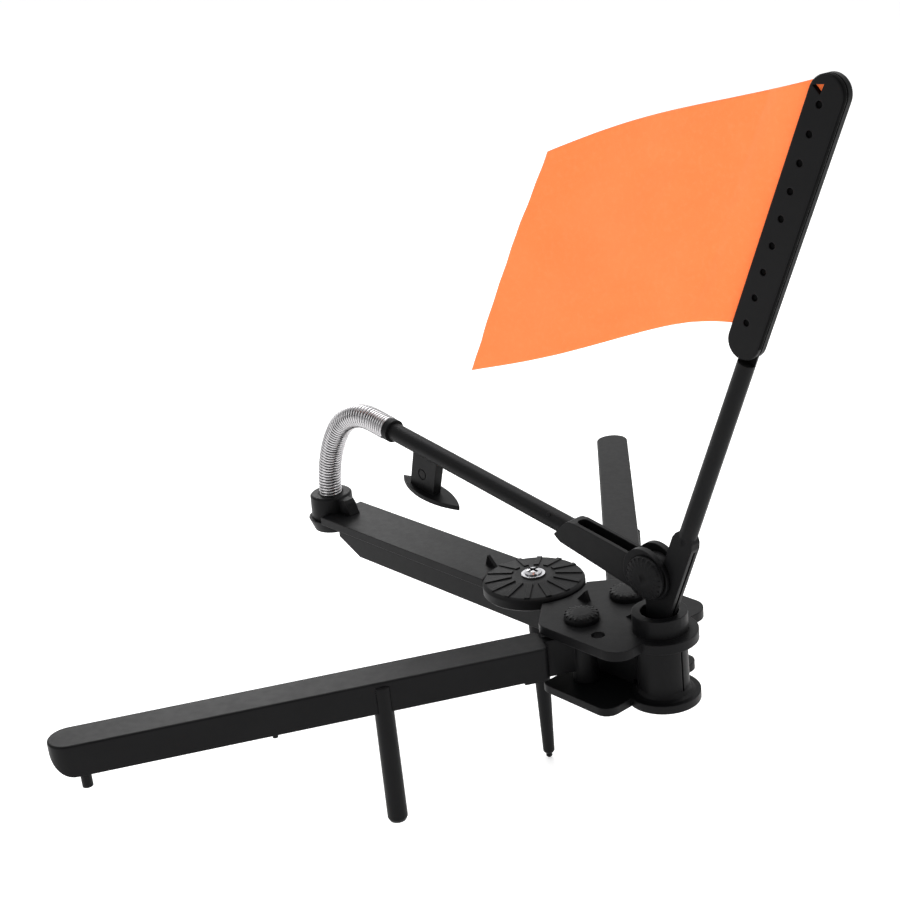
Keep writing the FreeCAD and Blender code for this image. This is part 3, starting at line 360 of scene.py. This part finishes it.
def make_spring():
    """Close-wound wire: the turns touch on the inside of the bend and fan out on its outside."""
    start, runs = spring_stations()
    coil_radius = SPRING_RADIUS - WIRE_RADIUS
    side = Vector((0, 1, 0))
    centres, frames = [], []
    place, heading, phase = start.copy(), 0.0, 0.0
    place.z += WIRE_RADIUS
    runs[0] = (runs[0][0] - WIRE_RADIUS, None)
    runs[-1] = (runs[-1][0] - WIRE_RADIUS, None)
    for length, bend in runs:
        pitch = 2 * WIRE_RADIUS * TURN_SPACING
        if bend is not None:
            pitch *= bend / (bend - coil_radius)
        step = pitch / WIRE_STEPS
        count = max(1, round(length / step))
        step = length / count
        for _ in range(count):
            tangent = Vector((math.sin(heading), 0, math.cos(heading)))
            inward = Vector((math.cos(heading), 0, -math.sin(heading)))
            out = inward * math.cos(phase) + side * math.sin(phase)
            along = side * math.cos(phase) - inward * math.sin(phase)
            centres.append(np.array(place + out * coil_radius))
            direction = (along * 2 * math.pi * coil_radius + tangent * pitch).normalized()
            frames.append((np.array(out), np.array(direction.cross(out).normalized())))
            turn = 0.0 if bend is None else step / bend
            middle = heading + turn / 2
            place += Vector((math.sin(middle), 0, math.cos(middle))) * step
            heading += turn
            phase += 2 * math.pi / WIRE_STEPS
    spring = sweep("spring_wire", centres, frames, WIRE_RADIUS, WIRE_SIDES)
    # the spring's steel carries painted shade between its turns
    steel = plated_steel("spring_steel", tint=(0.52, 0.51, 0.52), roughness=0.24)
    spring.data.materials.append(steel)
    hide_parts("coil_spring")
    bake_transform(spring)


# ---------------------------------------------------------------- flag

MAST_DATUM = Vector((0.97, 0, 57.31)) * MM     # a fixed point of the mast, on the arm bar's axis
MAST_TILT = math.radians(22.9)
# The next six are in the mast's own frame, with its origin at the datum and z up the mast.
CLAMP_EDGE = -3.2 * MM        # x of the clamp's edge, where the cloth comes out
CLAMP_TUCK = 6.2 * MM         # how far the cloth reaches into the clamp
FLAG_LOW = 124.6 * MM
FLAG_HIGH = 221.9 * MM
FLY_LOW = Vector((-102.2, -28.0, 49.4)) * MM      # the free edge's low corner
FLY_HIGH = Vector((-105.4, -6.0, 146.6)) * MM
THREAD = 0.45 * MM            # width of one yarn
CLOTH_THICKNESS = 0.35 * MM
FLAG_TUCKED, FLAG_COLUMNS, FLAG_ROWS = 4, 112, 84     # cells inside the clamp, along, and up


def mast_point(local):
    """A point of the mast's own frame, in the row frame."""
    return MAST_DATUM + Matrix.Rotation(MAST_TILT, 3, "Y") @ Vector(local)


def cloth_point(u, v):
    """A point of the free cloth, in the mast's frame.

    u runs from the clamp to the free edge and v from the low edge to the high one. The rises
    curve the long edges, the hollow curves the free edge, and the rest moves the cloth out of
    its plane: a belly, one long fold and a little crumple, all held flat at the clamp.
    """
    hoist = Vector((CLAMP_EDGE, 0, FLAG_LOW + (FLAG_HIGH - FLAG_LOW) * v))
    local = hoist.lerp(FLY_LOW.lerp(FLY_HIGH, v), u)
    high_rise = 3.6 * math.sin(math.pi * u ** 1.6)
    low_rise = 42 * u * (1 - u) ** 3 - 2.2 * u * math.sin(math.pi * u)
    hollow = -1.7 * u * math.sin(math.pi * v) ** 1.5
    local.z += (high_rise * v + low_rise * (1 - v)) * MM
    local.x += hollow * MM
    loose = min(1.0, u * 6) ** 2
    belly = 4 * u * (1 - u) * (3.2 + 2.2 * v)
    fold = 1.5 * math.sin(2.1 * math.pi * (1.25 * u + 0.16 * v) + 0.5) * u * (1 - 0.3 * u)
    crumple = noise.noise(Vector((u * 5.0, v * 4.0, 3.7)))
    crumple += 0.35 * noise.noise(Vector((u * 13.0, v * 11.0, 8.1)))
    local.y += (belly + fold + crumple) * loose * MM
    return local


def make_flag():
    """One sheet of cloth: a flat strip in the clamp, then a softly folded panel beyond it."""
    points, threads = [], []
    width = (FLY_LOW - Vector((CLAMP_EDGE, 0, FLAG_LOW))).length
    for row in range(FLAG_ROWS + 1):
        v = row / FLAG_ROWS
        height = FLAG_LOW + (FLAG_HIGH - FLAG_LOW) * v
        for column in range(FLAG_TUCKED + FLAG_COLUMNS + 1):
            along = (column - FLAG_TUCKED) / FLAG_COLUMNS
            if column < FLAG_TUCKED:
                inside = CLAMP_TUCK * (FLAG_TUCKED - column) / FLAG_TUCKED
                points.append(mast_point((CLAMP_EDGE + inside, 0, height)))
                along = -inside / width
            else:
                points.append(mast_point(cloth_point(along, v)))
            threads.append((along * width / THREAD, height / THREAD))
    faces = []
    across = FLAG_TUCKED + FLAG_COLUMNS + 1
    for row in range(FLAG_ROWS):
        for column in range(across - 1):
            a = row * across + column
            faces.append((a, a + across, a + across + 1, a + 1))
    flag = make_mesh("flag_cloth", points, faces)
    uv = flag.data.uv_layers.new(name="threads")
    for loop in flag.data.loops:
        uv.data[loop.index].uv = threads[loop.vertex_index]
    thick = flag.modifiers.new("cloth_thickness", "SOLIDIFY")
    thick.thickness = CLOTH_THICKNESS
    thick.offset = 0
    flag.data.materials.append(orange_cloth("orange_cloth"))
    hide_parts("flag")
    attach(flag, "mast")


# ---------------------------------------------------------------- stage

CAMERA_PLACE = (0.40223, -0.42933, 0.33228)
CAMERA_RIGHT = (0.65336, 0.75052, -0.09921)
CAMERA_UP = (-0.19566, 0.29401, 0.93556)
CAMERA_LENS = 61.35
SENSOR_WIDTH = 36.0
BRIGHT_SIDE = (-0.6, 0.65, 0.45)      # the surroundings are brightest this way
FLOOR_REACH = 12.0
FLOOR_GAP = 0.4 * MM                  # the floor's depth below the object's lowest point
LIGHT_AIM = (-0.05, 0, 0.08)
LIGHTS = (                            # name, place, width in metres, power in watts
    ("overhead", (-0.3, 0.5, 1.5), 1.4, 14),
    ("key", (-0.5, -1.3, 1.1), 0.9, 5),
    ("side", (1.3, 0.3, 0.8), 0.7, 4),
    ("rim", (-1.5, 0.6, 0.9), 0.7, 7),
)


def make_camera():
    """A camera turned so that its own x and y lie along CAMERA_RIGHT and CAMERA_UP."""
    data = bpy.data.cameras.new("camera")
    data.lens = CAMERA_LENS
    data.sensor_width = SENSOR_WIDTH
    data.clip_start = 0.01
    data.clip_end = 50
    camera = bpy.data.objects.new("camera", data)
    bpy.context.scene.collection.objects.link(camera)
    right = Vector(CAMERA_RIGHT).normalized()
    up = Vector(CAMERA_UP)
    up = (up - right * up.dot(right)).normalized()
    turn = Matrix((right, up, right.cross(up))).transposed()
    camera.matrix_world = Matrix.Translation(CAMERA_PLACE) @ turn.to_4x4()
    bpy.context.scene.camera = camera


def make_light(name, place, size, power):
    """A round white area light that faces LIGHT_AIM."""
    data = bpy.data.lights.new(name, "AREA")
    data.shape = "DISK"
    data.size = size
    data.energy = power
    light = bpy.data.objects.new(name, data)
    bpy.context.scene.collection.objects.link(light)
    light.location = place
    light.rotation_mode = "QUATERNION"
    light.rotation_quaternion = (Vector(LIGHT_AIM) - Vector(place)).to_track_quat("-Z", "Y")


def world_ramp(tree, value, low, high, to_low, to_high):
    """A soft ramp in the world's node tree that takes low to to_low and high to to_high."""
    ramp = tree.nodes.new("ShaderNodeMapRange")
    ramp.interpolation_type = "SMOOTHSTEP"
    for socket, number in (("From Min", low), ("From Max", high), ("To Min", to_low),
                           ("To Max", to_high)):
        ramp.inputs[socket].default_value = number
    tree.links.new(value, ramp.inputs["Value"])
    return ramp.outputs["Result"]


def make_world():
    """Soft studio surroundings: a white horizon, and brighter behind the object than in front."""
    world = bpy.data.worlds.new("studio")
    world.use_nodes = True
    tree = world.node_tree
    background = tree.nodes["Background"]
    background.inputs["Color"].default_value = (1, 1, 1, 1)
    place = tree.nodes.new("ShaderNodeTexCoord")
    toward = tree.nodes.new("ShaderNodeVectorMath")
    toward.operation = "DOT_PRODUCT"
    toward.inputs[1].default_value = BRIGHT_SIDE
    tree.links.new(place.outputs["Generated"], toward.inputs[0])
    level = world_ramp(tree, toward.outputs["Value"], -0.35, 1.0, 0.10, 1.0)
    split = tree.nodes.new("ShaderNodeSeparateXYZ")
    tree.links.new(place.outputs["Generated"], split.inputs["Vector"])
    horizon = world_ramp(tree, split.outputs["Z"], 0.34, 0.12, 0.0, 1.05)
    brighter = tree.nodes.new("ShaderNodeMath")
    brighter.operation = "MAXIMUM"
    tree.links.new(level, brighter.inputs[0])
    tree.links.new(horizon, brighter.inputs[1])
    tree.links.new(brighter.outputs[0], background.inputs["Strength"])
    bpy.context.scene.world = world


def make_stage():
    """The floor, the surroundings, the lights and plain colour handling."""
    low, _ = cad_box
    floor_z = low.z - FLOOR_GAP
    corners = [(-FLOOR_REACH, -FLOOR_REACH, floor_z), (FLOOR_REACH, -FLOOR_REACH, floor_z),
               (FLOOR_REACH, FLOOR_REACH, floor_z), (-FLOOR_REACH, FLOOR_REACH, floor_z)]
    floor = make_mesh("floor", corners, [(0, 1, 2, 3)])
    floor.data.materials.append(pale_floor("pale_floor"))
    make_world()
    for name, place, size, power in LIGHTS:
        make_light(name, place, size, power)
    settings = bpy.context.scene.view_settings
    settings.view_transform = "Standard"
    settings.look = "None"


# ---------------------------------------------------------------- assemble

finish_cad_nodes()
make_spring()
make_flag()
make_camera()
make_stage()
